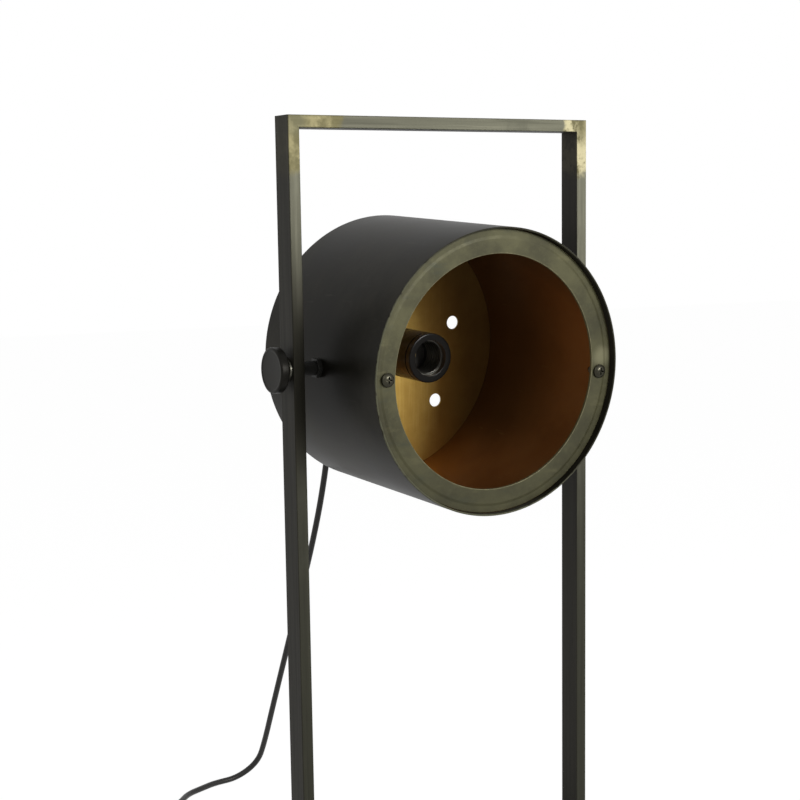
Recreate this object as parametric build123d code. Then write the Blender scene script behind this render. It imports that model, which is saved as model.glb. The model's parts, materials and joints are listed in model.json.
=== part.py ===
from build123d import *
import math
import os

# Tabletop searchlight lamp: a drum head clamped between the posts of a tall tube frame.
# Millimetres. X runs across the frame, the lamp faces -Y, Z is up, and the origin lies on the
# table below the middle of the frame. The head's pieces are drawn with the tilt axis on X and
# the drum's axis on Y, and are then tilted and lifted to the pivot.

# ---- Frame of rectangular tube ------------------------------------------------------------
side_gap = 17.75
pivot_height = 440.0
pivot_to_top = 188.9
base_depth = 220.0
tube_face = 9.5
tube_depth = 21.5
tube_wall = 1.5
tube_edge = 0.8

# ---- Rubber feet --------------------------------------------------------------------------
foot_radius = 8.0
foot_height = 3.0
foot_setback = 30.0
foot_flare = 0.8
foot_screw_radius = 1.75
foot_screw_head_radius = 3.4
foot_screw_head = 1.6
foot_screw_recess = 0.8
foot_screw_length = 8.0

# ---- Drum ---------------------------------------------------------------------------------
drum_radius = 110.0
drum_wall = 1.5
drum_front = 85.3
drum_back = 89.8
rest_tilt = 3.6
drum_lip = 0.5
rear_plate_thickness = 1.5
vent_radius = 5.6
vent_circle = 71.4
vent_angles = (15.0, 75.6, 136.3, 196.9, 257.6, 318.2)

# ---- Front ring, held by two screws in brackets behind it ------------------------------------
ring_width = 18.4
ring_recess = 5.1
ring_thickness = 2.0
ring_step = 0.8
ring_band = 6.7
ring_screw_inset = 11.2
right_screw_drop = 2.4
ring_screw_radius = 2.5
ring_screw_head_radius = 5.3
ring_screw_head = 3.0
ring_screw_length = 11.0
screw_cross_width = 1.1
screw_cross_length = 5.4
screw_cross_depth = 1.6
bracket_width = 14.0
bracket_reach = 16.2
bracket_leg = 15.0
bracket_sheet = 1.5
ring_nut_flats = 8.0
ring_nut_height = 4.0

# ---- Pivot on each side: stud in a weld nut, spacer, bush, washer, clamp knob ---------------------
stud_radius = 4.0
stud_in_knob = 8.8
pivot_nut_flats = 14.0
pivot_nut_height = 4.0
spacer_radius = 5.6
bush_radius = 6.0
bush_flange_radius = 8.0
bush_flange = 0.8
washer_radius = 9.0
washer_thickness = 1.6
hub_flange_radius = 7.5
hub_flange = 4.6
hub_spigot_radius = 5.5
hub_spigot = 5.0
knob_radius = 17.5
knob_thickness = 7.2
knob_chamfer = 0.8
knob_grooves = 44
knob_groove_depth = 0.7

# ---- Lampholder for an E27 lamp ---------------------------------------------------------------
holder_front = 13.7
skirt_radius = 20.07
skirt_chamfer = 0.8
skirt_mouth_radius = 14.4
skirt_seat = 36.5
skirt_bore_radius = 17.6
skirt_end = 48.0
shell_radius = 13.3
shell_wall = 0.5
shell_lip = 0.4
shell_front = 18.0
shell_length = 22.0
block_floor = 43.6
block_ledge_width = 0.7
shoulder_start = 60.0
shoulder_middle_radius = 17.6
shoulder_middle = 68.5
neck_radius = 10.0
neck_start = 76.0
neck_end = 84.0
cap_wall = 2.5
contact_radius = 4.5
contact_sheet = 0.5
contact_bump_radius = 2.5
contact_bump = 1.6
terminal_width = 6.0
terminal_depth = 7.0
terminal_offset = 8.0
terminal_bore_radius = 1.2
core_radius = 0.9
core_spread = 1.2
nipple_radius = 5.0
nipple_bore_radius = 3.4
nipple_into_cap = 6.0
nipple_out_of_plate = 11.5
lock_nut_flats = 14.0
outer_lock_nut = 4.0

# ---- Cord gland --------------------------------------------------------------------------------
gland_radius = 9.0
gland_collar = 9.0
gland_sleeve_radius = 6.2
gland_tip_radius = 4.2
gland_end = 118.0

# ---- Cord --------------------------------------------------------------------------------------
cord_radius = 2.75
cord_start_inside = 62.0
arc_share = 0.45
drop_route = [(0, 148, 449.3), (0, 168, 427), (0, 178, 386), (0, 196, 318), (0, 221, 258), (0, 251, 200),
              (0, 281, 141), (0, 309, 86), (2, 333, 44), (2, 349, 19), (-17, 358, 3.3), (-43, 356.5, 2.75),
              (-62, 347.5, 2.75), (-80, 339, 2.75), (-95, 322, 2.75)]
floor_route = [(-112, 305, 3.2), (-123.3, 288.6, 6.2), (-128, 271.5, 9)]
link_route = [(-128, 191, 9), (-127.8, 176, 3.4)]
cord_in_switch = 4.6
coil_x = -90.0
coil_y = 157.0
coil_inner_radius = 22.5
coil_outer_radius = 40.5
coil_layers = 2
coil_edge = 1.6
tail_runs = [(14.0, 45.0, 7.9), (16.0, 22.5, 6.85), (30.6, 0.0, 6.85)]

# ---- In-line rocker switch -----------------------------------------------------------------------
switch_x = -128.0
switch_y = 231.0
switch_length = 62.0
switch_width = 27.0
switch_corner = 11.0
switch_wall = 1.6
switch_split = 9.0
switch_height = 18.0
switch_table_gap = 0.3
switch_top_edge = 2.5
switch_bottom_edge = 1.2
rocker_width = 12.0
rocker_half_length = 9.5
rocker_crown = 9.0
rocker_dip = 7.2
rocker_shoulder = 5.2
rocker_root = 3.2
rocker_travel = 16.0
window_gap = 0.5
window_half_length = 11.3
pin_radius = 1.0
pin_height = 11.0
cheek_thickness = 1.5
cheek_length = 8.0
switch_screw_spacing = 44.0
switch_boss_radius = 3.2
switch_screw_radius = 1.25
switch_screw_head_radius = 2.3
switch_screw_head = 1.2
switch_contact_length = 7.0
switch_contact_width = 3.0
switch_contact_height = 2.0
switch_contact_offset = 9.0

# ---- Two-pin plug ------------------------------------------------------------------------------------
plug_length = 35.0
plug_width = 35.3
plug_height = 13.7
plug_boot_radius = 4.2
plug_boot_length = 9.0
plug_waist_width = 19.0
plug_waist = 17.0
plug_flank = 29.0
plug_edge = 1.0
plug_socket = 4.0
pin_spacing = 18.6
plug_pin_radius = 2.0
plug_pin_root_radius = 1.7
plug_pin_length = 19.0
plug_pin_inside = 10.0
plug_pin_tip = 0.8

# ---- Clearances ---------------------------------------------------------------------------------------
seat_gap = 0.05     # between faces that are clamped or glued together
hole_gap = 0.1      # round a screw, nipple or cord in its hole
slip = 0.06         # radial, between a shaft and what turns or slides on it
run_gap = 0.3       # between faces that move past each other

# ---- Places that follow from the sizes ------------------------------------------------------------------
post_inner = drum_radius + side_gap
half_width = post_inner + tube_face
frame_width = 2 * half_width
frame_top = pivot_height + pivot_to_top
post_x = half_width - tube_face / 2
rail_x = half_width - tube_depth / 2
rail_y = base_depth / 2 - tube_depth / 2
rail_z = foot_height + tube_face / 2
rail_top = foot_height + tube_face
drum_inner = drum_radius - drum_wall
ring_edge = drum_inner - run_gap
ring_face = -drum_front + ring_recess
ring_screw_x = ring_edge - ring_screw_inset
bracket_face = ring_face + ring_thickness + seat_gap
nut_start = drum_radius + hole_gap
nut_end = nut_start + pivot_nut_height
spacer_end = post_inner - bush_flange - run_gap
washer_start = half_width + run_gap
hub_start = washer_start + washer_thickness + seat_gap
knob_start = hub_start + hub_flange
knob_end = knob_start + knob_thickness
plate_front = drum_back - rear_plate_thickness
shell_end = shell_front + shell_length
coil_outer_turn = coil_outer_radius - cord_radius
coil_top_turn = (2 * coil_layers - 1) * cord_radius


# ---- Helpers --------------------------------------------------------------------------------------------
def rod_x(radius, start, end):
    """Solid rod on the X axis."""
    return Pos((start + end) / 2, 0, 0) * Rot(0, 90, 0) * Cylinder(radius, end - start)


def rod_y(radius, start, end):
    """Solid rod on the Y axis."""
    return Pos(0, (start + end) / 2, 0) * Rot(90, 0, 0) * Cylinder(radius, end - start)


def turned(points):
    """Solid of revolution about the Y axis, from (radius, y) points."""
    return revolve(make_face(Polyline(*points, close=True)), Axis.Y)


def hexagon(flats):
    """Hexagon with the given width across flats."""
    return RegularPolygon(flats / 2, 6, major_radius=False)


def both_sides(shape):
    """The shape and its mirror image across the middle of the lamp."""
    return [shape, mirror(shape, about=Plane.YZ)]


def tube_section(width, height):
    """Hollow rectangular tube section with eased outside corners."""
    outside = RectangleRounded(width, height, tube_edge)
    return outside - Rectangle(width - 2 * tube_wall, height - 2 * tube_wall)


def mitre_wedge(plane, corner, upper):
    """Block on one side of the 45 degree joint that meets the outside corner."""
    reach = 2 * tube_depth
    x, y = corner
    side = (x - reach, y + reach) if upper else (x + reach, y - reach)
    outline = Polyline((x - reach, y - reach), (x + reach, y + reach), side, close=True)
    return extrude(plane * make_face(outline), reach, both=True)


def on_head(shapes):
    """Puts pieces of the head at the pivot, tilted as the lamp rests."""
    place = Pos(0, 0, pivot_height) * Rot(rest_tilt, 0, 0)
    return [place * shape for shape in shapes]


def head_point(y):
    """Point of the drum's axis, y behind the pivot, in the lamp's own frame."""
    tilt = math.radians(rest_tilt)
    return (0, y * math.cos(tilt), pivot_height + y * math.sin(tilt))


# ---- Frame ------------------------------------------------------------------------------------------------
def right_post():
    """Post with a mitred top and a hole for the pivot bush."""
    bar = Pos(post_x, 0, rail_top) * extrude(tube_section(tube_face, tube_depth), frame_top - rail_top)
    bar -= mitre_wedge(Plane.XZ, (half_width, frame_top), upper=True)
    hole = rod_x(bush_radius + seat_gap, post_inner - 1, half_width + 1)
    return bar - Pos(0, 0, pivot_height) * hole


def top_bar():
    """Bar across the top, mitred to both posts."""
    section = Pos(0, frame_top - tube_face / 2) * tube_section(tube_depth, tube_face)
    bar = extrude(Plane.YZ.offset(-half_width) * section, frame_width)
    for corner in both_sides(mitre_wedge(Plane.XZ, (half_width, frame_top), upper=False)):
        bar -= corner
    return bar


def right_rail():
    """Side rail of the base, flat on its wide side, mitred at both ends, drilled for the foot screws."""
    section = Pos(rail_x, rail_z) * tube_section(tube_depth, tube_face)
    bar = extrude(Plane.XZ.offset(-base_depth / 2) * section, base_depth)
    corner = mitre_wedge(Plane.XY, (half_width, base_depth / 2), upper=True)
    bar -= corner
    bar -= mirror(corner, about=Plane.XZ)
    for y in foot_places():
        bar -= Pos(rail_x, y, foot_height) * Cylinder(foot_screw_radius + hole_gap, 2 * tube_wall + 1)
    return bar


def rear_rail():
    """Cross rail at the back of the base."""
    section = Pos(rail_y, rail_z) * tube_section(tube_depth, tube_face)
    bar = extrude(Plane.YZ.offset(-half_width) * section, frame_width)
    for corner in both_sides(mitre_wedge(Plane.XY, (half_width, base_depth / 2), upper=False)):
        bar -= corner
    return bar


def foot_places():
    """Positions of the feet along a side rail."""
    return [foot_setback - base_depth / 2, base_depth / 2 - foot_setback]


def rubber_foot():
    """Tapered rubber foot with a recessed hole for its screw."""
    height = foot_height - seat_gap
    body = Pos(0, 0, height / 2) * Cone(foot_radius - foot_flare, foot_radius, height)
    recess = foot_screw_recess + foot_screw_head
    body -= Pos(0, 0, recess / 2) * Cylinder(foot_screw_head_radius + hole_gap, recess)
    return body - Cylinder(foot_screw_radius + hole_gap, 3 * foot_height)


def foot_screw():
    """Pan-head screw that holds a foot to its rail."""
    head = Pos(0, 0, foot_screw_recess + foot_screw_head / 2 - seat_gap)
    screw = head * Cylinder(foot_screw_head_radius, foot_screw_head)
    start = foot_screw_recess + foot_screw_head / 2
    return screw + Pos(0, 0, start + foot_screw_length / 2) * Cylinder(foot_screw_radius, foot_screw_length)


def at_feet(shape):
    """One copy of the shape at each of the four feet."""
    return [Pos(side * rail_x, y, 0) * shape for side in (-1, 1) for y in foot_places()]


def right_bush():
    """Flanged bush pressed into the post, in which the pivot stud turns."""
    bush = rod_x(bush_radius, post_inner - bush_flange, half_width)
    bush += rod_x(bush_flange_radius, post_inner - bush_flange, post_inner - seat_gap)
    return Pos(0, 0, pivot_height) * (bush - rod_x(stud_radius + slip, post_inner - 5, half_width + 1))


# ---- Head -----------------------------------------------------------------------------------------------------
def drum_shell():
    """Rolled sheet drum, open at both ends, with an eased front lip."""
    shell = turned([(drum_inner, drum_back), (drum_radius, drum_back),
                    (drum_radius, -drum_front), (drum_inner, -drum_front)])
    lip = shell.edges().filter_by(GeomType.CIRCLE).sort_by(Axis.Y)[:2]
    return chamfer(lip, drum_lip)


def rear_plate():
    """Disc in the drum's back end, with a ring of vent holes round the cable entry."""
    plate = rod_y(drum_inner - seat_gap, plate_front, drum_back)
    plate -= rod_y(nipple_radius + hole_gap, plate_front - 1, drum_back + 1)
    for angle in vent_angles:
        turn = math.radians(angle)
        place = Pos(vent_circle * math.cos(turn), 0, vent_circle * math.sin(turn))
        plate -= place * rod_y(vent_radius, plate_front - 1, drum_back + 1)
    return plate


def front_ring():
    """Flat ring with a stepped-back outer band."""
    back = ring_face + ring_thickness
    inner = ring_edge - ring_width
    band = ring_edge - ring_band
    step = ring_face + ring_step
    ring = turned([(inner, ring_face), (band, ring_face), (band + ring_step, step), (ring_edge, step),
                   (ring_edge, back), (inner, back)])
    for hole in at_screws(Pos(ring_screw_x, 0, 0) * rod_y(ring_screw_radius + hole_gap, ring_face - 1, back + 1)):
        ring -= hole
    return ring


def at_screws(shape):
    """A piece of the right-hand screw fixing at both its places; the right one sits a little low."""
    right, left = both_sides(shape)
    return [Rot(0, right_screw_drop, 0) * right, left]


def right_bracket():
    """Bent tab welded to the drum's wall, which carries one ring screw."""
    outer = math.sqrt(drum_inner ** 2 - (bracket_width / 2) ** 2) - seat_gap
    heel = bracket_face + bracket_leg
    inner = outer - bracket_reach
    outline = Polyline((inner, bracket_face), (outer, bracket_face), (outer, heel), (outer - bracket_sheet, heel),
                       (outer - bracket_sheet, bracket_face + bracket_sheet),
                       (inner, bracket_face + bracket_sheet), close=True)
    tab = extrude(make_face(outline), bracket_width / 2, both=True)
    hole = rod_y(ring_screw_radius + hole_gap, bracket_face - 1, heel)
    return tab - Pos(ring_screw_x, 0, 0) * hole


def right_ring_nut():
    """Weld nut behind the bracket."""
    start = bracket_face + bracket_sheet + seat_gap
    nut = extrude(Plane.XZ.offset(-start - ring_nut_height) * hexagon(ring_nut_flats), ring_nut_height)
    nut -= rod_y(ring_screw_radius + slip, start - 1, start + ring_nut_height + 1)
    return Pos(ring_screw_x, 0, 0) * nut


def right_ring_screw():
    """Pan-head screw with a cross recess."""
    head_back = ring_face - seat_gap
    crown = head_back - ring_screw_head
    rim = head_back - ring_screw_head / 2
    outline = [Line((0, head_back), (ring_screw_head_radius, head_back)),
               Line((ring_screw_head_radius, head_back), (ring_screw_head_radius, rim)),
               ThreePointArc((ring_screw_head_radius, rim), (ring_screw_head_radius * 0.75, crown + 0.4),
                             (0, crown)),
               Line((0, crown), (0, head_back))]
    screw = revolve(make_face(outline), Axis.Y)
    screw += rod_y(ring_screw_radius, head_back, head_back + ring_screw_length)
    for slot in ((screw_cross_length, screw_cross_width), (screw_cross_width, screw_cross_length)):
        screw -= Pos(0, crown, 0) * Box(slot[0], 2 * screw_cross_depth, slot[1])
    return Pos(ring_screw_x, 0, 0) * screw


def right_stud():
    """Threaded stud from the nut on the drum out to the knob."""
    return rod_x(stud_radius, nut_start, hub_start + stud_in_knob)


def right_pivot_nut():
    """Nut welded to the drum's outside, which holds the stud."""
    nut = extrude(Plane.YZ.offset(nut_start) * hexagon(pivot_nut_flats), pivot_nut_height)
    return nut - rod_x(stud_radius + slip, nut_start - 1, nut_end + 1)


def right_spacer():
    """Plain spacer tube between the nut and the post."""
    start = nut_end + seat_gap
    return rod_x(spacer_radius, start, spacer_end) - rod_x(stud_radius + slip, start - 1, spacer_end + 1)


def right_washer():
    """Washer between the post and the knob."""
    end = washer_start + washer_thickness
    return rod_x(washer_radius, washer_start, end) - rod_x(stud_radius + slip, washer_start - 1, end + 1)


def right_hub():
    """Threaded metal hub of the knob: a flange, and a spigot pressed into the knob."""
    hub = rod_x(hub_flange_radius, hub_start, knob_start - seat_gap)
    hub = chamfer(hub.edges().group_by(Axis.X)[-1], seat_gap * 8)
    hub += rod_x(hub_spigot_radius, hub_start, knob_start + hub_spigot)
    return hub - rod_x(stud_radius + slip, hub_start - 1, knob_start + hub_spigot + 1)


def right_knob():
    """Thick disc with a V-grooved rim, chamfered on both sides."""
    corners = []
    for i in range(2 * knob_grooves):
        radius = knob_radius - (i % 2) * knob_groove_depth
        angle = math.pi * i / knob_grooves
        corners.append((radius * math.cos(angle), radius * math.sin(angle)))
    grip = extrude(Plane.YZ.offset(knob_start) * make_face(Polyline(*corners, close=True)), knob_thickness)
    envelope = rod_x(knob_radius, knob_start, knob_end)
    envelope = chamfer(envelope.edges().filter_by(GeomType.CIRCLE), knob_chamfer)
    pocket = rod_x(hub_spigot_radius + seat_gap, knob_start - 1, knob_start + hub_spigot + seat_gap)
    return (grip & envelope) - pocket


# ---- Lampholder ---------------------------------------------------------------------------------------------------
def holder_skirt():
    """Outer sleeve with the round mouth that the lamp cap goes through."""
    nose = skirt_radius - skirt_chamfer
    return turned([(skirt_mouth_radius, holder_front), (nose, holder_front),
                   (skirt_radius, holder_front + skirt_chamfer), (skirt_radius, skirt_end),
                   (skirt_bore_radius, skirt_end), (skirt_bore_radius, skirt_seat),
                   (skirt_mouth_radius, skirt_seat)])


def thread_shell():
    """Thin metal sleeve that takes the lamp cap, with a rolled front lip."""
    outer = shell_radius + shell_wall
    lip = outer + shell_lip
    return turned([(shell_radius, shell_front), (lip, shell_front), (lip, shell_front + shell_wall),
                   (outer, shell_front + shell_wall), (outer, shell_end), (shell_radius, shell_end)])


def contact_block():
    """Insulating block: a rim round the thread shell's end, a ledge under it and a floor behind."""
    rim = shell_radius + shell_wall + seat_gap
    outer = skirt_bore_radius - hole_gap
    front = skirt_seat + seat_gap
    ledge = shell_end + seat_gap
    inner = shell_radius - block_ledge_width
    block = turned([(0, block_floor), (inner, block_floor), (inner, ledge), (rim, ledge), (rim, front),
                    (outer, front), (outer, skirt_end), (0, skirt_end)])
    return block


def centre_contact():
    """Sprung disc on the block's floor, raised in the middle."""
    back = block_floor - seat_gap
    front = back - contact_sheet
    return turned([(0, front - contact_bump), (contact_bump_radius / 2, front - contact_bump),
                   (contact_bump_radius, front), (contact_radius, front), (contact_radius, back), (0, back)])


def holder_cap():
    """Back of the holder: a shouldered hood, with the neck that the nipple screws into."""
    start = skirt_end + seat_gap
    bore = nipple_radius + slip
    inside = skirt_radius - cap_wall
    nipple_seat = neck_end - nipple_into_cap - cap_wall
    return turned([(inside, start), (skirt_radius, start), (skirt_radius, shoulder_start),
                   (shoulder_middle_radius, shoulder_middle), (neck_radius, neck_start), (neck_radius, neck_end),
                   (bore, neck_end), (bore, nipple_seat), (inside, shoulder_start)])


def terminals():
    """Two terminal blocks on the back of the contact block, each bored for a cord core."""
    start = skirt_end + seat_gap
    blocks = []
    for side in (-1, 1):
        block = Pos(side * terminal_offset, start + terminal_depth / 2, 0)
        block = block * Box(terminal_width, terminal_depth, terminal_width)
        bore = Pos(side * terminal_offset, 0, 0) * rod_y(terminal_bore_radius, start + 2, start + terminal_depth + 1)
        blocks.append(block - bore)
    return blocks


def cord_cores():
    """The two bared cores, from the end of the cord to their terminals."""
    cores = []
    for side in (-1, 1):
        inner = Vector(side * core_spread, cord_start_inside - core_radius, 0)
        outer = Vector(side * terminal_offset, skirt_end + terminal_depth + 2 * core_radius, 0)
        run = outer - inner
        core = Plane(origin=inner, z_dir=run) * Pos(0, 0, run.length / 2) * Cylinder(core_radius, run.length)
        cores.append(core)
    return cores


def holder_nipple():
    """Hollow threaded nipple that ties holder, rear plate and gland together."""
    start = neck_end - nipple_into_cap
    end = drum_back + nipple_out_of_plate
    return rod_y(nipple_radius, start, end) - rod_y(nipple_bore_radius, start - 1, end + 1)


def lock_nuts():
    """Two nuts on the nipple, one on each side of the rear plate."""
    spans = [(neck_end + seat_gap, plate_front - seat_gap),
             (drum_back + seat_gap, drum_back + seat_gap + outer_lock_nut)]
    nuts = []
    for start, end in spans:
        nut = extrude(Plane.XZ.offset(-end) * hexagon(lock_nut_flats), end - start)
        nuts.append(nut - rod_y(nipple_radius + slip, start - 1, end + 1))
    return nuts


def cord_gland():
    """Collar screwed on the nipple, with a tapered sleeve that keeps the cord from kinking."""
    start = drum_back + outer_lock_nut + 2 * seat_gap
    collar_end = start + gland_collar
    body = turned([(0, start), (gland_radius, start), (gland_radius, collar_end - 1),
                   (gland_radius - 1, collar_end), (gland_sleeve_radius, collar_end),
                   (gland_tip_radius, gland_end), (0, gland_end)])
    body -= rod_y(nipple_radius + slip, start - 1, drum_back + nipple_out_of_plate + seat_gap)
    return body - rod_y(cord_radius + hole_gap, start, gland_end + 1)


# ---- Cord --------------------------------------------------------------------------------------------------------
def corner_radius(before, corner, after):
    """Largest arc for a corner of the route that leaves both runs some straight."""
    first = Vector(*corner) - Vector(*before)
    second = Vector(*after) - Vector(*corner)
    half_turn = math.radians(first.get_angle(second) / 2)
    return arc_share * min(first.length, second.length) / math.tan(half_turn)


def cord_tube(name, route):
    """Round tube along straight runs joined by tangent arcs."""
    radii = [corner_radius(*route[i:i + 3]) for i in range(len(route) - 2)]
    path = FilletPolyline(*route, radius=radii) if radii else Line(*route)
    tube = sweep(Plane(origin=route[0], z_dir=path % 0) * Circle(cord_radius), path=path)
    expected = math.pi * cord_radius ** 2 * path.length
    print(name, "length", round(path.length, 1), "volume ratio", round(tube.volume / expected, 4),
          "radii", [round(radius, 1) for radius in radii])
    return tube


def cord_drop():
    """From the gland down to the table, and half of the first run along it."""
    middle = (Vector(*drop_route[-1]) + Vector(*floor_route[0])) / 2
    return cord_tube("cord_drop", [head_point(gland_end), *drop_route, tuple(middle)])


def cord_run():
    """Along the table to the switch."""
    middle = (Vector(*drop_route[-1]) + Vector(*floor_route[0])) / 2
    end = (switch_x, switch_y + switch_length / 2 - cord_in_switch, switch_split)
    return cord_tube("cord_run", [tuple(middle), *floor_route, end])


def cord_link():
    """From the switch to the coil."""
    start = (switch_x, switch_y - switch_length / 2 + cord_in_switch, switch_split)
    end = (coil_x - coil_outer_turn, coil_y + 2 * cord_radius, cord_radius)
    return cord_tube("cord_link", [start, *link_route, end])


def cord_coil():
    """Outer shape of the flat coil of spare cord."""
    height = 2 * cord_radius * coil_layers
    ring = Pos(0, 0, height / 2) * Cylinder(coil_outer_radius, height)
    ring = chamfer(ring.edges().filter_by(GeomType.CIRCLE), coil_edge)
    return Pos(coil_x, coil_y, 0) * (ring - Cylinder(coil_inner_radius, 3 * height))


def tail_route():
    """From the coil's top turn, which it leaves on a tangent, round to the plug."""
    heading = math.radians(tail_runs[0][1] - 90)
    x = coil_x + coil_outer_turn * math.cos(heading)
    y = coil_y + coil_outer_turn * math.sin(heading)
    route = [(x, y, coil_top_turn)]
    for length, direction, height in tail_runs:
        x += length * math.cos(math.radians(direction))
        y += length * math.sin(math.radians(direction))
        route.append((x, y, height))
    return route


def cord_tail():
    """From the top of the coil to the plug."""
    return cord_tube("cord_tail", tail_route())


# ---- Switch ---------------------------------------------------------------------------------------------------------
def on_switch(shape):
    """Puts a piece of the switch at its place on the cord."""
    return Pos(switch_x, switch_y, 0) * shape


def switch_outline(inset):
    """Rounded outline of the housing, drawn in by the inset."""
    return RectangleRounded(switch_width - 2 * inset, switch_length - 2 * inset, switch_corner - inset)


def cord_ways():
    """Cutter for the cord's way in and out."""
    return Pos(0, 0, switch_split) * rod_y(cord_radius + hole_gap, -switch_length, switch_length)


def rocker_pin_rod(clearance, half_length):
    """Rod on the rocker's axis."""
    return Pos(0, 0, pin_height) * rod_x(pin_radius + clearance, -half_length, half_length)


def switch_base():
    """Lower half of the housing: tray, screw bosses and the two cheeks that hold the rocker pin."""
    tray = extrude(Pos(0, 0, switch_table_gap) * switch_outline(0), switch_split - switch_table_gap)
    tray = chamfer(tray.faces().sort_by(Axis.Z)[0].edges(), switch_bottom_edge)
    floor = switch_table_gap + switch_wall
    tray -= extrude(Pos(0, 0, floor) * switch_outline(switch_wall), switch_split)
    tray -= cord_ways()
    for y in (-switch_screw_spacing / 2, switch_screw_spacing / 2):
        boss = Pos(0, y, (floor + switch_split - 2 * cord_radius) / 2)
        tray += boss * Cylinder(switch_boss_radius, switch_split - 2 * cord_radius - floor + 1)
        tray -= Pos(0, y, 0) * Cylinder(switch_screw_radius + hole_gap, 3 * switch_split)
        tray -= Pos(0, y, 0) * Cylinder(switch_screw_head_radius + hole_gap, 2 * floor)
    cheek_height = pin_height + 2 * pin_radius - floor
    for side in (-1, 1):
        x = side * (rocker_width / 2 + window_gap + cheek_thickness / 2)
        tray += Pos(x, 0, floor + cheek_height / 2) * Box(cheek_thickness, cheek_length, cheek_height)
    return on_switch(tray - rocker_pin_rod(seat_gap, rocker_width))


def switch_cover():
    """Upper half of the housing, with the rocker's window."""
    start = switch_split + seat_gap
    cover = extrude(Pos(0, 0, start) * switch_outline(0), switch_height - start)
    cover = fillet(cover.faces().sort_by(Axis.Z)[-1].edges(), switch_top_edge)
    ceiling = switch_height - switch_wall
    cover -= extrude(Pos(0, 0, start - 1) * switch_outline(switch_wall), ceiling - start + 1)
    window = Pos(0, 0, switch_height) * Box(rocker_width + 2 * window_gap, 2 * window_half_length, 4 * switch_wall)
    return on_switch(cover - window - cord_ways())


def switch_rocker():
    """Rocker with two finger faces, shown pressed to one side."""
    profile = Polyline((-rocker_half_length, rocker_shoulder), (-rocker_half_length, rocker_crown),
                       (0, rocker_dip), (rocker_half_length, rocker_crown),
                       (rocker_half_length, rocker_shoulder), (rocker_root, -rocker_root / 2),
                       (-rocker_root, -rocker_root / 2), close=True)
    rocker = extrude(Plane.YZ * make_face(profile), rocker_width / 2, both=True)
    rocker = Rot(rocker_travel / 2, 0, 0) * rocker
    return on_switch(Pos(0, 0, pin_height) * rocker - rocker_pin_rod(slip, switch_width))


def rocker_pin():
    """Steel pin through the rocker and the cheeks."""
    return on_switch(rocker_pin_rod(0, rocker_width / 2 + window_gap + cheek_thickness))


def switch_contacts():
    """Two fixed contacts on the floor of the housing."""
    z = switch_table_gap + switch_wall + seat_gap + switch_contact_height / 2
    bar = Box(switch_contact_width, switch_contact_length, switch_contact_height)
    return [on_switch(Pos(0, side * switch_contact_offset, z) * bar) for side in (-1, 1)]


def switch_screws():
    """Two screws that close the housing from below."""
    floor = switch_table_gap + switch_wall
    head = Pos(0, 0, floor - seat_gap - switch_screw_head / 2) * Cylinder(switch_screw_head_radius, switch_screw_head)
    length = switch_split - 2 * cord_radius - floor
    screw = head + Pos(0, 0, floor + length / 2 - seat_gap) * Cylinder(switch_screw_radius, length)
    return [on_switch(Pos(0, side * switch_screw_spacing / 2, 0) * screw) for side in (-1, 1)]


# ---- Plug ------------------------------------------------------------------------------------------------------------
def on_plug(shape):
    """Puts a piece of the plug where the cord's tail ends, a few millimetres inside its boot."""
    x, y, z = tail_route()[-1]
    return Pos(x - plug_socket, y, z) * Rot(0, 0, -90) * shape


def plug_profile(boot, waist, flank):
    """Symmetrical outline of the plug, from the boot to the face with the pins."""
    half = [(boot, 0), (boot, plug_boot_length), (waist, plug_waist), (flank, plug_flank), (flank, plug_length)]
    return make_face(Polyline(*half, *[(-x, y) for x, y in reversed(half)], close=True))


def plug_body():
    """Moulded plug: flat below and above, waisted at the sides, with a boot for the cord."""
    plan = plug_profile(plug_boot_radius, plug_waist_width / 2, plug_width / 2)
    side = plug_profile(plug_boot_radius, plug_height / 2, plug_height / 2)
    body = extrude(plan, plug_height, both=True) & Rot(0, 90, 0) * extrude(side, plug_width, both=True)
    body = chamfer(body.faces().sort_by(Axis.Y)[-1].edges(), plug_edge)
    body -= rod_y(cord_radius + hole_gap, -1, plug_socket)
    for side_x in (-1, 1):
        hole = rod_y(plug_pin_root_radius + seat_gap, plug_length - plug_pin_inside - seat_gap, plug_length + 1)
        body -= Pos(side_x * pin_spacing / 2, 0, 0) * hole
    return on_plug(body)


def plug_pins():
    """Two round pins with eased tips, and a thinner root inside the plug."""
    start = plug_length - plug_pin_inside
    shoulder = plug_length + seat_gap
    end = plug_length + plug_pin_length
    tip = plug_pin_radius - plug_pin_tip
    pin = turned([(0, start), (plug_pin_root_radius, start), (plug_pin_root_radius, shoulder),
                  (plug_pin_radius, shoulder), (plug_pin_radius, end - plug_pin_tip), (tip, end), (0, end)])
    return [on_plug(Pos(side * pin_spacing / 2, 0, 0) * pin) for side in (-1, 1)]


# ---- Export ------------------------------------------------------------------------------------------------------------
def save(name, shapes):
    """Writes one node: a single solid, or a group of separate ones."""
    solids = [solid for shape in shapes for solid in shape.solids()]
    export_step(solids[0] if len(solids) == 1 else Compound(children=solids), "parts/" + name + ".step")


def save_pair(name, shape):
    """Writes the right-hand node and its mirror image."""
    right, left = both_sides(shape)
    save("right_" + name, [right])
    save("left_" + name, [left])


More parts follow.
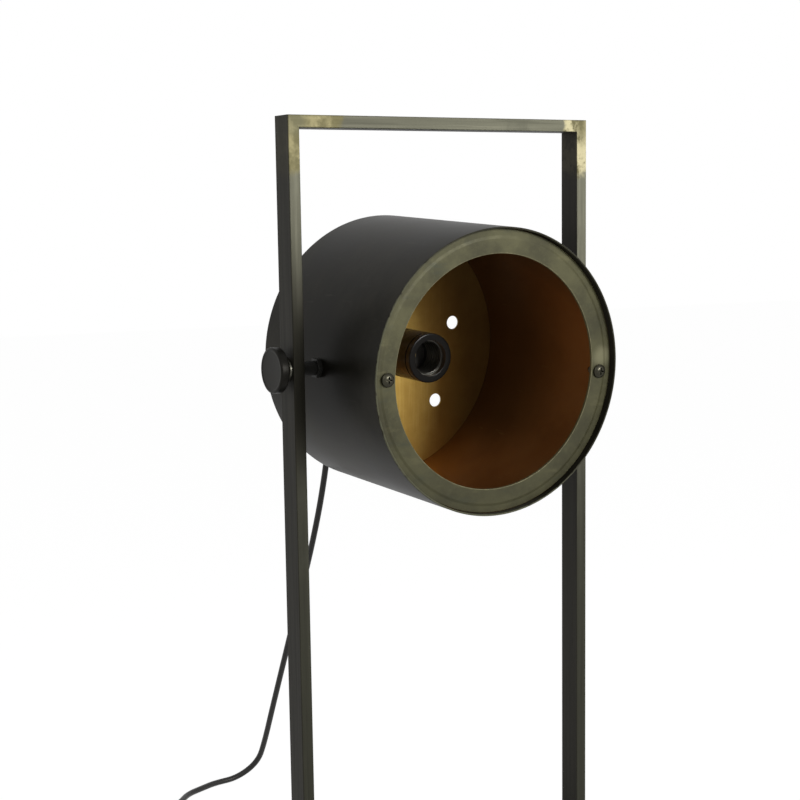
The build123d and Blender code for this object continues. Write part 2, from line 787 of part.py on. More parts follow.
def main():
    os.makedirs("parts", exist_ok=True)
    save_pair("post", right_post())
    save("top_bar", [top_bar()])
    save_pair("rail", right_rail())
    rear = rear_rail()
    save("rear_rail", [rear])
    save("front_rail", [mirror(rear, about=Plane.XZ)])
    save("rubber_feet", at_feet(rubber_foot()))
    save("foot_screws", at_feet(foot_screw()))
    save_pair("bush", right_bush())

    save("drum_shell", on_head([drum_shell()]))
    save("rear_plate", on_head([rear_plate()]))
    save("front_ring", on_head([front_ring()]))
    save("ring_brackets", on_head(at_screws(right_bracket())))
    save("ring_nuts", on_head(at_screws(right_ring_nut())))
    save("ring_screws", on_head(at_screws(right_ring_screw())))
    save("pivot_studs", on_head(both_sides(right_stud())))
    save("pivot_nuts", on_head(both_sides(right_pivot_nut())))
    save("pivot_spacers", on_head(both_sides(right_spacer())))
    for name, shape in (("washer", right_washer()), ("knob_hub", right_hub()), ("knob", right_knob())):
        save_pair(name, on_head([shape])[0])

    save("holder_skirt", on_head([holder_skirt()]))
    save("thread_shell", on_head([thread_shell()]))
    save("contact_block", on_head([contact_block()]))
    save("centre_contact", on_head([centre_contact()]))
    save("holder_cap", on_head([holder_cap()]))
    save("terminals", on_head(terminals()))
    save("cord_cores", on_head(cord_cores()))
    save("holder_nipple", on_head([holder_nipple()]))
    save("lock_nuts", on_head(lock_nuts()))
    save("cord_gland", on_head([cord_gland()]))
    save("cord_inner", on_head([rod_y(cord_radius, cord_start_inside, gland_end)]))

    save("cord_drop", [cord_drop()])
    save("cord_run", [cord_run()])
    save("cord_link", [cord_link()])
    save("cord_coil", [cord_coil()])
    save("cord_tail", [cord_tail()])
    save("switch_base", [switch_base()])
    save("switch_cover", [switch_cover()])
    save("switch_rocker", [switch_rocker()])
    save("rocker_pin", [rocker_pin()])
    save("switch_contacts", switch_contacts())
    save("switch_screws", switch_screws())
    save("plug_body", [plug_body()])
    save("plug_pins", plug_pins())


main()
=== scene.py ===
import json
import math

import bmesh
import bpy
from mathutils import Matrix, Vector

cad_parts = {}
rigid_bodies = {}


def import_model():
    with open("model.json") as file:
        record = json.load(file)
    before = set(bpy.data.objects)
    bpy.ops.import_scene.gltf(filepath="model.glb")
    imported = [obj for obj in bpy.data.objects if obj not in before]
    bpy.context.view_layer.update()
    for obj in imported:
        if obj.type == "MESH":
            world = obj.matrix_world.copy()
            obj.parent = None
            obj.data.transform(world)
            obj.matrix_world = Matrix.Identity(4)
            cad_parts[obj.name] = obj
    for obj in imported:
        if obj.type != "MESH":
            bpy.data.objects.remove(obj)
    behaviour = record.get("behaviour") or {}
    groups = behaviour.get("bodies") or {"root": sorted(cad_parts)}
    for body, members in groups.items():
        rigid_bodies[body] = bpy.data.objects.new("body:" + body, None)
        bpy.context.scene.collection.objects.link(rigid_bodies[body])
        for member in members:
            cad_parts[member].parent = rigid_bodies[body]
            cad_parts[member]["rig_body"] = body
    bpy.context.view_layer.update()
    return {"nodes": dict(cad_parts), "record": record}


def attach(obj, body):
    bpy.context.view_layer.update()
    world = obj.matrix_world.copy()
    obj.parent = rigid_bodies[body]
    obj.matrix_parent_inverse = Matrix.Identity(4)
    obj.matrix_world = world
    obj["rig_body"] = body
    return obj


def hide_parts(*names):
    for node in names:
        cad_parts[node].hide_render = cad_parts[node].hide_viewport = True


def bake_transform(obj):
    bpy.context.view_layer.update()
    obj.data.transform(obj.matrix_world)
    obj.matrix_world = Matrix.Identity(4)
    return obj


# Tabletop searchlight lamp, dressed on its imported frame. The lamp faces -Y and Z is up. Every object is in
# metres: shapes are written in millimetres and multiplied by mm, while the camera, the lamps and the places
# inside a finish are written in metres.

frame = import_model()
nodes = frame["nodes"]
slot_of = {part["node"]: part["material_slot"] for part in frame["record"]["subparts"]}

mm = 0.001
rest_tilt = math.radians(3.6)
pivot = Vector((0, 0, 440 * mm))
head_place = Matrix.Translation(pivot) @ Matrix.Rotation(rest_tilt, 4, "X")


def mm_point(point):
    """A point in millimetres as a vector in metres."""
    return Vector(point) * mm


def head_point(x, y, z):
    """A point of the head, in millimetres from the pivot along the drum's own axes, in the lamp's frame."""
    return head_place @ mm_point((x, y, z))


# ---- Camera ------------------------------------------------------------------------------------------------
camera_place = (-0.75951, -1.18827, 0.54495)
camera_turn = -30.399
camera_nod = -8.661
camera_lean = -0.971
camera_lens = 79.61
camera_shift = (0.0318, 0.122)


def set_camera():
    """Camera to the front left of the lamp, at the height of the drum's top, looking slightly down."""
    camera = bpy.data.objects.new("camera", bpy.data.cameras.new("camera"))
    bpy.context.scene.collection.objects.link(camera)
    bpy.context.scene.camera = camera
    turn = Matrix.Rotation(math.radians(camera_turn), 4, "Z")
    nod = Matrix.Rotation(math.radians(90 + camera_nod), 4, "X")
    lean = Matrix.Rotation(math.radians(camera_lean), 4, "Z")
    camera.matrix_world = Matrix.Translation(camera_place) @ turn @ nod @ lean
    camera.data.lens = camera_lens
    camera.data.shift_x, camera.data.shift_y = camera_shift
    camera.data.clip_start = 0.05
    camera.data.clip_end = 50


set_camera()


# ---- Cord --------------------------------------------------------------------------------------------------
cord_radius = 2.75
cord_start = 104
gland_end = 118
switch_x = -128
switch_height = 9
coil_centre = (-90.0, 157.0)
coil_outer_turn = 37.75
coil_lift = 0.55
points_per_turn = 16
points_inwards = 36
points_outwards = 34
points_to_climb = 5
plug_half_height = 6.85
drop_route = [
    (0, 148, 449.3), (0, 168, 427), (0, 178, 386), (0, 196, 318), (0, 221, 258), (0, 251, 200), (0, 281, 141),
    (0, 309, 86), (2, 333, 44), (2, 349, 19),
]
table_route = [
    (-17, 358, 3.3), (-43, 356.5, cord_radius), (-62, 347.5, cord_radius), (-80, 339, cord_radius),
    (-95, 322, cord_radius), (-112, 305, 3.2), (-123.3, 288.6, 6.2),
]
into_switch = [(switch_x, y, switch_height) for y in (271.5, 257.4, 245)]
out_of_switch = [(switch_x, y, switch_height) for y in (217, 204.6, 191)] + [(-127.8, 176, 3.4)]
into_plug = [(-53.4, 140.2, 7.9)] + [(x, 146.3, plug_half_height) for x in (-38.6, -22, -8)]


def coil_route():
    """Two flat layers of turns: inwards on the table, then outwards on top of them."""
    step = 2 * math.pi / points_per_turn
    # The smooth line runs inside its control points, so these stand on a wider circle.
    widen = 2 / (1 + math.cos(step / 2) ** 2)
    points = []
    for i in range(points_inwards + points_outwards + 1):
        back = points_inwards + points_outwards - i
        depth = min(i, back * points_inwards / points_outwards) / points_per_turn
        radius = (coil_outer_turn - 2 * cord_radius * depth) * widen
        climb = min(max((i - points_inwards) / points_to_climb, 0), 1)
        height = cord_radius * (1 + 2 * climb * climb * (3 - 2 * climb)) + coil_lift
        angle = math.pi + i * step
        x = coil_centre[0] + radius * math.cos(angle)
        y = coil_centre[1] + radius * math.sin(angle)
        points.append((x, y, height))
    return points


def spline_mesh(name, routes, radius):
    """Mesh of smooth lines on the routes' control points, thickened where a radius is given."""
    curve = bpy.data.curves.new(name, "CURVE")
    curve.dimensions = "3D"
    curve.resolution_u = 8
    curve.bevel_depth = radius * mm
    curve.bevel_resolution = 5
    curve.use_fill_caps = True
    for route in routes:
        spline = curve.splines.new("NURBS")
        spline.points.add(len(route) - 1)
        for point, place in zip(spline.points, route):
            point.co = (*mm_point(place), 1)
        spline.order_u = 3
        spline.use_endpoint_u = True
    holder = bpy.data.objects.new(name, curve)
    mesh = bpy.data.meshes.new_from_object(holder)
    bpy.data.objects.remove(holder)
    bpy.data.curves.remove(curve)
    return mesh


def add_cord():
    """The whole cord, from inside the gland to inside the plug and cut inside the switch, and its middle line."""
    start = [tuple(head_point(0, y, 0) / mm) for y in (cord_start, gland_end)]
    routes = [[*start, *drop_route, *table_route, *into_switch], [*out_of_switch, *coil_route(), *into_plug]]
    line = spline_mesh("cord_line", routes, 0)
    path = [vertex.co.copy() for vertex in line.vertices]
    tube = spline_mesh("mains_cord", routes, cord_radius)
    bm = bmesh.new()
    bm.from_mesh(tube)
    bmesh.ops.remove_doubles(bm, verts=bm.verts, dist=0.01 * mm)
    bmesh.ops.recalc_face_normals(bm, faces=bm.faces)
    bm.to_mesh(tube)
    bm.free()
    tube.shade_smooth()
    cord = bpy.data.objects.new("mains_cord", tube)
    bpy.context.scene.collection.objects.link(cord)
    return cord, path


# ---- Shader maths ------------------------------------------------------------------------------------------
class Value:
    """An output socket that Python arithmetic works on: each operation adds its Math node."""

    def __init__(self, paint, socket):
        self.paint = paint
        self.socket = socket

    def maths(self, operation, *inputs):
        return self.paint.node("ShaderNodeMath", {"operation": operation}, dict(enumerate(inputs)))

    def __add__(self, other):
        return self.maths("ADD", self, other)

    def __radd__(self, other):
        return self.maths("ADD", other, self)

    def __sub__(self, other):
        return self.maths("SUBTRACT", self, other)

    def __rsub__(self, other):
        return self.maths("SUBTRACT", other, self)

    def __mul__(self, other):
        return self.maths("MULTIPLY", self, other)

    def __pow__(self, other):
        return self.maths("POWER", self, other)

    def __abs__(self):
        return self.maths("ABSOLUTE", self)

    def higher(self, other):
        """The higher of two values."""
        return self.maths("MAXIMUM", self, other)

    def rise(self, start, end):
        """0 before start and 1 after end, smooth between them; start may be above end."""
        if start < end:
            inputs = {0: self, 1: start, 2: end, 3: 0.0, 4: 1.0}
        else:
            inputs = {0: self, 1: end, 2: start, 3: 1.0, 4: 0.0}
        return self.paint.node("ShaderNodeMapRange", {"interpolation_type": "SMOOTHSTEP"}, inputs)


class Paint:
    """A procedural material, or the world, with its nodes."""

    def __init__(self, name, world=False):
        home = bpy.data.worlds if world else bpy.data.materials
        self.block = home.new(name)
        self.block.use_nodes = True
        self.tree = self.block.node_tree
        self.shader = None if world else self.tree.nodes["Principled BSDF"]

    def node(self, kind, settings=None, inputs=None, output=0):
        """One node: its settings first, then the values or links of its sockets, and one output to go on with."""
        made = self.tree.nodes.new(kind)
        for name, value in (settings or {}).items():
            setattr(made, name, value)
        for key, value in (inputs or {}).items():
            self.feed(made.inputs[key], value)
        return Value(self, made.outputs[output])

    def feed(self, socket, value):
        """Links an output to a socket, or sets the socket's own value."""
        if isinstance(value, Value):
            self.tree.links.new(value.socket, socket)
        elif socket.type == "RGBA" and len(value) == 3:
            socket.default_value = (*value, 1)
        else:
            socket.default_value = value

    def set(self, **inputs):
        """Values or links of the shader's sockets, with underscores for spaces."""
        for name, value in inputs.items():
            self.feed(self.shader.inputs[name.replace("_", " ")], value)

    def place(self, on_head=False):
        """Coordinates in metres: the lamp's, or those of the head, from the pivot along the drum's own axes."""
        centre, turn = (pivot, (rest_tilt, 0, 0)) if on_head else ((0, 0, 0), (0, 0, 0))
        raw = self.node("ShaderNodeTexCoord", output="Object")
        inputs = {"Vector": raw, "Location": centre, "Rotation": turn}
        return self.node("ShaderNodeMapping", {"vector_type": "TEXTURE"}, inputs)

    def axes(self, place):
        """The three components of a place or a direction."""
        split = self.node("ShaderNodeSeparateXYZ", None, {0: place})
        outputs = split.socket.node.outputs
        return [Value(self, outputs[i]) for i in range(3)]

    def facing(self):
        """The three components of the direction that the surface faces."""
        return self.axes(self.node("ShaderNodeTexCoord", output="Normal"))

    def noise(self, place, scale, detail, roughness):
        """Soft noise about 0.5."""
        inputs = {"Vector": place, "Scale": scale, "Detail": detail, "Roughness": roughness}
        return self.node("ShaderNodeTexNoise", None, inputs)

    def streaks(self, place, scales, detail, roughness):
        """Soft noise about 0.5 with a scale of its own along each axis."""
        stretched = self.node("ShaderNodeVectorMath", {"operation": "MULTIPLY"}, {0: place, 1: scales})
        return self.noise(stretched, 1.0, detail, roughness)

    def mix(self, share, first, second):
        """Colour between the first and the second."""
        return self.node("ShaderNodeMix", {"data_type": "RGBA"}, {0: share, 6: first, 7: second}, output=2)

    def layered(self, colour, *layers):
        """The colour under layers, each given as its share and its own colour."""
        for share, layer in layers:
            colour = self.mix(share, colour, layer)
        return colour

    def relief(self, height, depth, strength=1.0):
        """Normals of a height pattern whose full range is the depth in millimetres."""
        inputs = {"Strength": strength, "Distance": depth * mm, "Height": height}
        return self.node("ShaderNodeBump", None, inputs)


# ---- Finishes ----------------------------------------------------------------------------------------------
def plain_finish(name, colour, roughness, metallic=0.0, specular=0.5, grain=400.0, spread=0.25, depth=0.02):
    """Even finish with fine mottling of its colour and roughness, and a fine grain."""
    paint = Paint(name)
    place = paint.place()
    cloud = paint.noise(place, grain / 8, 5.0, 0.6)
    fine = paint.noise(place, grain * 4, 3.0, 0.6)
    dark = tuple(part * (1 - spread) for part in colour)
    pale = tuple(min(part * (1 + spread), 1) for part in colour)
    paint.set(
        Base_Color=paint.mix(cloud.rise(0.3, 0.7), dark, pale),
        Roughness=roughness + (cloud - 0.5) * 0.2,
        Metallic=metallic,
        Specular_IOR_Level=specular,
        Specular_Tint=(1, 0.96, 0.9),
        Normal=paint.relief(fine, depth),
    )
    return paint.block


def bar_finish(name, along):
    """Darkened steel bar: brushed along its length, with front and back faces painted lit against painted-shaded
    sides, paler higher up and on the right post as painted light, a painted shadow of the drum on the left post
    near the knob, brazed with brass at the two top corners."""
    knob_height = 0.435
    corner_x, corner_z = 0.1325, 0.6245
    paint = Paint(name)
    place = paint.place()
    x, _, z = paint.axes(place)
    # Painted light: front and back faces lit, sides left darker as painted shade.
    lit_front_back = abs(paint.facing()[1]).rise(0.35, 0.85)
    right = x.rise(-0.06, 0.06)
    cloud = paint.noise(place, 30.0, 5.0, 0.6)
    brush = paint.streaks(place, [9.0 if i == along else 700.0 for i in range(3)], 4.0, 0.7)
    streak = paint.streaks(place, [7.0 if i == along else 260.0 for i in range(3)], 3.0, 0.6)
    # Painted light: paler higher up and on the right post, as if lit from above on the right; the streaks follow
    # it too.
    height = (z + (cloud - 0.5) * 0.08 + x * 0.35).rise(0.17, 0.68) ** 1.7
    pale_streaks = paint.mix(height, (0.042, 0.042, 0.031), (0.25, 0.244, 0.18))
    dark_streaks = paint.mix(height, (0.017, 0.017, 0.0125), (0.07, 0.07, 0.05))
    left_of_top_bar = x.rise(0.12, -0.12) * z.rise(0.6, 0.62)
    # Painted shadow of the drum on the left post's front near the knob.
    drum_shadow_on_left_post = abs(z - knob_height).rise(0.12, 0.03) * x.rise(0, -0.05)
    front = paint.layered(
        paint.mix(height, (0.03, 0.03, 0.0215), (0.14, 0.138, 0.1)),
        (streak.rise(0.5, 0.7) * 0.55, pale_streaks),
        (streak.rise(0.46, 0.34) * 0.55, dark_streaks),
        (cloud.rise(0.55, 0.75) * 0.35, (0.05, 0.05, 0.037)),
        (left_of_top_bar * 0.55, (0.05, 0.05, 0.036)),
        (drum_shadow_on_left_post * 0.9, (0.009, 0.0085, 0.006)),
    )
    side = paint.layered(
        paint.mix(streak.rise(0.3, 0.7), (0.013, 0.0125, 0.0095), (0.026, 0.0245, 0.019)),
        # Painted light: the side faces of the right post paler.
        (right * 0.45, (0.034, 0.032, 0.027)),
    )
    corner = (((abs(x) - corner_x) * (1.0 + right * 1.2)) ** 2.0 + (z - corner_z) ** 2.0) ** 0.5
    spot = paint.noise(place, 90.0, 3.0, 0.6)
    braze = (corner + (spot - 0.5) * 0.025).rise(0.043, 0.034) * (0.1 + lit_front_back * 0.9)
    brass = paint.layered(
        paint.mix(spot.rise(0.4, 0.7), (0.12, 0.106, 0.046), (0.26, 0.23, 0.115)),
        (corner.rise(0.014, 0.006) * (1.0 - right) * 0.5, (0.13, 0.125, 0.075)),
        (right * corner.rise(0.002, 0.022) * spot.rise(0.36, 0.5), (0.52, 0.47, 0.28)),
    )
    paint.set(
        Base_Color=paint.layered(side, (lit_front_back, front), (braze * 0.85, brass)),
        Roughness=0.5 + (brush - 0.5) * 0.3,
        Metallic=lit_front_back * 0.25,
        Specular_IOR_Level=0.12,
        Specular_Tint=(1, 0.92, 0.8),
        Normal=paint.relief(brush + braze * spot, 0.04, 0.6),
    )
    return paint.block


def drum_finish():
    """Satin black-brown enamel outside and at the back, bare from wear at the front lip and brighter there on the
    left and bottom as painted light, paler along the bottom as a painted floor reflection, darker around the
    pivot as a painted shadow of the posts and knobs; gold lacquer inside, with painted shade above and towards
    the back."""
    paint = Paint("drum enamel")
    place = paint.place(on_head=True)
    x, y, z = paint.axes(place)
    radius = (x * x + z * z) ** 0.5
    within_sheet = radius.rise(0.1094, 0.1090)
    behind_ring = y.rise(-0.0795, -0.0785)
    before_plate = y.rise(0.0889, 0.0885)
    inside = within_sheet * behind_ring * before_plate
    cloud = paint.noise(place, 11.0, 5.0, 0.6)
    fine = paint.noise(place, 160.0, 4.0, 0.6)
    scratch = paint.streaks(place, (160.0, 22.0, 160.0), 3.0, 0.7)
    # Painted shadow of the posts and knobs around the pivot.
    post_shadow_on_drum = (y * y + (z + 0.005) ** 2.0).rise(0.0036, 0.0004)
    left = (x + z * 0.7).rise(0.06, -0.06)
    # The bare front lip is wear; making it brighter on the left and bottom is painted light.
    lip = (y + (fine - 0.5) * 0.003).rise(-0.0845, -0.0851) * (0.25 + left * 0.75)
    outer = paint.layered(
        paint.mix(cloud.rise(0.3, 0.7), (0.0055, 0.005, 0.0033), (0.024, 0.022, 0.016)),
        (scratch.rise(0.62, 0.8) * 0.3, (0.05, 0.047, 0.036)),
        # Painted reflection of the white floor: the drum paler along its bottom.
        (z.rise(-0.095, -0.108) * 0.8, (0.034, 0.033, 0.026)),
        (post_shadow_on_drum * 0.85, (0.003, 0.0028, 0.002)),
        (lip * 0.8, (0.1, 0.1, 0.065)),
    )
    # Painted shade inside the drum: darker above and deeper towards the back.
    painted_inner_shade = (y.rise(-0.075, 0.05) * z.rise(-0.105, -0.055)).higher(z.rise(0.02, 0.1))
    inner = paint.layered(
        paint.mix(cloud.rise(0.3, 0.7), (0.27, 0.11, 0.034), (0.37, 0.165, 0.055)),
        (scratch.rise(0.66, 0.74) * 0.35, (0.5, 0.3, 0.12)),
        (painted_inner_shade * 0.75, (0.05, 0.033, 0.019)),
    )
    paint.set(
        Base_Color=paint.mix(inside, outer, inner),
        Roughness=0.4 + (cloud - 0.5) * 0.16 + inside * 0.06,
        Metallic=inside * 0.7,
        Specular_IOR_Level=0.06,
        Specular_Tint=(1, 0.9, 0.75),
        Normal=paint.relief(fine, 0.04, 0.4),
    )
    return paint.block


def plate_finish():
    """Rear plate: brushed gold towards the mouth, darker towards the upper right as painted shade, black enamel
    behind.
    """
    paint = Paint("rear plate gold")
    place = paint.place(on_head=True)
    x, y, z = paint.axes(place)
    front = y.rise(0.0893, 0.0889)
    cloud = paint.noise(place, 24.0, 5.0, 0.6)
    brush = paint.streaks(place, (900.0, 60.0, 30.0), 3.0, 0.6)
    gold = paint.layered(
        paint.mix(cloud.rise(0.3, 0.72), (0.46, 0.3, 0.07), (0.64, 0.45, 0.12)),
        (brush.rise(0.45, 0.75) * 0.25, (0.72, 0.53, 0.18)),
        # Painted shade: the gold darker towards the upper right.
        ((x + z.higher(0.0) * 0.3).rise(0.025, 0.095) * 0.8, (0.12, 0.07, 0.026)),
    )
    paint.set(
        Base_Color=paint.mix(front, (0.016, 0.015, 0.013), gold),
        Roughness=0.4 + (brush - 0.5) * 0.15,
        Metallic=front * 0.7,
        Specular_IOR_Level=0.1,
        Normal=paint.relief(brush, 0.015, 0.3),
    )
    return paint.block


def ring_finish():
    """Front ring: brass under a mottled olive patina, bare from wear along its inner edge, with a painted
    reflection beside the right screw and painted shade towards the bottom.
    """
    reflection_x, reflection_z = 0.099, 0.008
    paint = Paint("ring patina")
    place = paint.place(on_head=True)
    x, _, z = paint.axes(place)
    radius = (x * x + z * z) ** 0.5
    cloud = paint.noise(place, 34.0, 6.0, 0.62)
    smear = paint.streaks(place, (26.0, 26.0, 90.0), 5.0, 0.6)
    fine = paint.noise(place, 260.0, 4.0, 0.65)
    screw_reflection = ((x - reflection_x) ** 2.0 + (z - reflection_z) ** 2.0) ** 0.5 + (cloud - 0.5) * 0.012
    edge = (radius + (fine - 0.5) * 0.0014).rise(0.0906, 0.0898)
    paint.set(
        Base_Color=paint.layered(
            paint.mix(cloud.rise(0.32, 0.68), (0.034, 0.0315, 0.0125), (0.069, 0.065, 0.028)),
            (smear.rise(0.55, 0.75) * 0.7, (0.03, 0.034, 0.02)),
            (smear.rise(0.42, 0.28) * 0.6, (0.105, 0.096, 0.044)),
            (fine.rise(0.5, 0.72) * 0.3, (0.09, 0.089, 0.045)),
            # Painted shade: the ring darker towards the bottom.
            ((z - x * 0.4).rise(0.09, -0.1) * 0.45, (0.027, 0.025, 0.0105)),
            # Painted reflection beside the right screw.
            (screw_reflection.rise(0.012, 0.003) * 0.5, (0.2, 0.19, 0.11)),
            (edge * 0.5, (0.24, 0.22, 0.12)),
        ),
        Roughness=0.5 + (fine - 0.5) * 0.3,
        Metallic=0.35,
        Specular_IOR_Level=0.3,
        Normal=paint.relief(fine, 0.05, 0.6),
    )
    return paint.block


def holder_finish():
    """Glossy moulding, near black on the faces towards the mouth and brown on the sides: partly its own tone and
    partly a painted reflection of the gold plate.
    """
    paint = Paint("brown phenolic")
    cloud = paint.noise(paint.place(on_head=True), 60.0, 5.0, 0.6)
    brown = paint.mix(cloud.rise(0.3, 0.7), (0.06, 0.045, 0.03), (0.12, 0.088, 0.058))
    paint.set(
        # Brown sides partly a painted reflection of the gold plate.
        Base_Color=paint.mix(paint.facing()[1].rise(-0.2, -0.6), brown, (0.0055, 0.0048, 0.004)),
        Roughness=0.22 + (cloud - 0.5) * 0.2,
        Specular_IOR_Level=0.08,
        Normal=paint.relief(cloud, 0.05, 0.4),
    )
    return paint.block


def knob_finish():
    """Black moulding with a slightly greyer outer face; the rim is kept near black as painted shade."""
    paint = Paint("knob moulding")
    cloud = paint.noise(paint.place(), 90.0, 5.0, 0.6)
    grey_face = paint.mix(cloud.rise(0.3, 0.7), (0.011, 0.0105, 0.0085), (0.018, 0.017, 0.014))
    paint.set(
        # Painted shade: the rim near black, only the outer face greyer.
        Base_Color=paint.mix(abs(paint.facing()[0]).rise(0.75, 0.95), (0.0045, 0.0042, 0.0034), grey_face),
        Roughness=0.42 + (cloud - 0.5) * 0.2,
        Specular_IOR_Level=0.1,
        Specular_Tint=(1, 0.95, 0.85),
        Normal=paint.relief(cloud, 0.05, 0.4),
    )
    return paint.block


def pin_finish():
    """Plug pin: black sleeve next to the plug, bright nickel towards the tip."""
    paint = Paint("sleeved pins")
    place = paint.place()
    metal = paint.axes(place)[0].rise(0.0329, 0.0331)
    cloud = paint.noise(place, 90.0, 4.0, 0.6)
    bright = paint.mix(cloud.rise(0.3, 0.7), (0.52, 0.51, 0.48), (0.66, 0.65, 0.62))
    paint.set(
        Base_Color=paint.mix(metal, (0.018, 0.018, 0.018), bright),
        Roughness=0.45 - metal * 0.22 + (cloud - 0.5) * 0.1,
        Metallic=metal,
    )
    return paint.block


finishes = {
    "frame_steel": bar_finish("bar steel along Z", 2),
    "foot_rubber": plain_finish("foot rubber", (0.022, 0.022, 0.022), 0.75, specular=0.3),
    "zinc_steel": plain_finish("zinc plated steel", (0.32, 0.32, 0.3), 0.38, 0.9),
    "bush_brass": plain_finish("bush brass", (0.45, 0.33, 0.13), 0.35, 0.9),
    "drum_steel": drum_finish(),
    "plate_brass": plate_finish(),
    "ring_brass": ring_finish(),
    "black_steel": plain_finish("blackened steel", (0.009, 0.009, 0.008), 0.4, specular=0.15),
    "phenolic": holder_finish(),
    "shell_brass": plain_finish("darkened thread shell", (0.1, 0.096, 0.084), 0.35, 0.8),
    "ceramic": plain_finish("holder insulator", (0.03, 0.028, 0.025), 0.55, specular=0.2),
    "contact_brass": plain_finish("contact brass", (0.3, 0.22, 0.09), 0.35, 0.9),
    "core_wire": plain_finish("copper cores", (0.55, 0.26, 0.12), 0.35, 0.9),
    "gland_black": plain_finish("gland nylon", (0.014, 0.014, 0.014), 0.45, specular=0.3),
    "cord_black": plain_finish("cord sheath", (0.012, 0.012, 0.012), 0.42, specular=0.3),
    "knob_black": knob_finish(),
    "hub_steel": plain_finish("turned hub steel", (0.2, 0.195, 0.16), 0.32, 0.9),
    "switch_black": plain_finish("switch moulding", (0.013, 0.013, 0.013), 0.35, specular=0.35),
    "plug_black": plain_finish("plug moulding", (0.015, 0.015, 0.015), 0.45, specular=0.35),
    "pin_nickel": pin_finish(),
}
strap_weave = plain_finish("strap weave", (0.016, 0.016, 0.016), 0.85, specular=0.2, grain=900.0, spread=0.5,
                           depth=0.12)
screw_bronze = plain_finish("screw bronze", (0.035, 0.033, 0.022), 0.3, 0.8)
lying_steel = bar_finish("bar steel along X", 0)
side_steel = bar_finish("bar steel along Y", 1)
for node, slot in slot_of.items():
    nodes[node].data.materials.clear()
    nodes[node].data.materials.append(finishes[slot])


# ---- Making pieces -----------------------------------------------------------------------------------------
def add_piece(bm, name, node, finish=None, place=None, crease=35, stands_for_node=True):
    """Finished mesh as a piece that rides on a CAD node's body, and stands for the node unless told otherwise."""
    if place is not None:
        bmesh.ops.transform(bm, matrix=place, verts=bm.verts)
    bmesh.ops.recalc_face_normals(bm, faces=bm.faces)
    mesh = bpy.data.meshes.new(name)
    bm.to_mesh(mesh)
    bm.free()
    mesh.shade_smooth()
    mesh.set_sharp_from_angle(angle=math.radians(crease))
    mesh.materials.append(finish or finishes[slot_of[node]])
    piece = bpy.data.objects.new(name, mesh)
    bpy.context.scene.collection.objects.link(piece)
    piece.modifiers.new("flat_faces_stay_flat", "WEIGHTED_NORMAL").keep_sharp = True
    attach(piece, nodes[node]["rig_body"])
    if stands_for_node:
        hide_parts(node)
    return piece


def eased_copy(node, width=0.3, steps=2, crease=28, finish=None):
    """The node's solid with its triangles merged into faces and every edge sharper than the crease rounded."""
    bm = bmesh.new()
    bm.from_mesh(nodes[node].data)
    bmesh.ops.remove_doubles(bm, verts=bm.verts, dist=0.002 * mm)
    bmesh.ops.dissolve_limit(bm, angle_limit=math.radians(0.6), verts=bm.verts, edges=bm.edges)
    sharp = [edge for edge in bm.edges if edge.is_manifold and edge.calc_face_angle() > math.radians(crease)]
    bmesh.ops.bevel(bm, geom=sharp, offset=width * mm, segments=steps, profile=0.5, affect="EDGES",
                    clamp_overlap=True, material=-1)
    return add_piece(bm, node + "_finished", node, finish)


def turned(profile, steps):
    """Closed shape turned about the Y axis from (radius, y) points in millimetres."""
    bm = bmesh.new()
    verts = [bm.verts.new((radius * mm, y * mm, 0)) for radius, y in profile]
    edges = [bm.edges.new(pair) for pair in zip(verts, verts[1:] + verts[:1])]
    bmesh.ops.spin(bm, geom=verts + edges, cent=(0, 0, 0), axis=(0, 1, 0), angle=2 * math.pi, steps=steps,
                   use_merge=True)
    bmesh.ops.remove_doubles(bm, verts=bm.verts, dist=0.001 * mm)
    return bm


def squarish(point, power):
    """A point of the unit circle moved outwards: a power of 1 keeps it, and a lower one nears a square."""
    return (math.copysign(abs(part) ** power, part) for part in point)


def lofted(stations):
    """Closed shape along Y through outlines (y, half width, half height, squareness) in millimetres: a squareness
    of 2 is an ellipse, and a higher one is nearer to a rectangle."""
    bm = bmesh.new()
    bmesh.ops.create_circle(bm, cap_ends=True, radius=1, segments=64)
    cap = bm.faces[:][0]
    for _ in stations[1:]:
        made = bmesh.ops.extrude_face_region(bm, geom=[cap])["geom"]
        cap = next(item for item in made if isinstance(item, bmesh.types.BMFace))
        bmesh.ops.translate(bm, vec=(0, 0, 1), verts=cap.verts)
    for vertex in bm.verts:
        y, width, height, squareness = stations[round(vertex.co.z)]
        across, up = squarish(vertex.co.xy, 2 / squareness)
        vertex.co = mm_point((width * across, y, height * up))
    return bm


# ---- Plug, switch and cord tie -----------------------------------------------------------------------------
def add_plug():
    """Flat moulded plug: ringed boot, waisted body and grooves for the fingers."""
    full = plug_half_height
    stations = [(0, 2.9, 2.9, 2), (0.3, 3.3, 3.3, 2)]
    for i in range(4):
        start = 0.6 + 2 * i
        radius = 3.5 + 0.2 * i
        narrow = radius - 0.5
        stations += [(start, radius, radius, 2), (start + 1.2, radius, radius, 2),
                     (start + 1.35, narrow, narrow, 2), (start + 1.85, narrow, narrow, 2)]
    stations += [(8.7, 4.2, 4.2, 2.1), (10.5, 5, 4.8, 2.3), (13.5, 7, 5.9, 2.7), (17, 9.5, 6.7, 3.4)]
    for i in range(4):
        start = 19 + 2.3 * i
        width = 9.5 + (start - 17) * 0.68
        stations += [(start, width, full, 4.5), (start + 0.2, width, 6.35, 4.5),
                     (start + 1.0, width + 0.4, 6.35, 4.5), (start + 1.2, width + 0.6, full, 4.5)]
    stations += [(29, 17.3, full, 6), (31, 17.65, full, 6), (34, 17.65, full, 6), (34.7, 17.4, 6.6, 6),
                 (35, 16.9, 6.1, 6)]
    place = Matrix.Translation(mm_point((-12.03, 146.33, full))) @ Matrix.Rotation(math.radians(-90), 4, "Z")
    return add_piece(lofted(stations), "moulded_plug", "plug_body", place=place, crease=40)


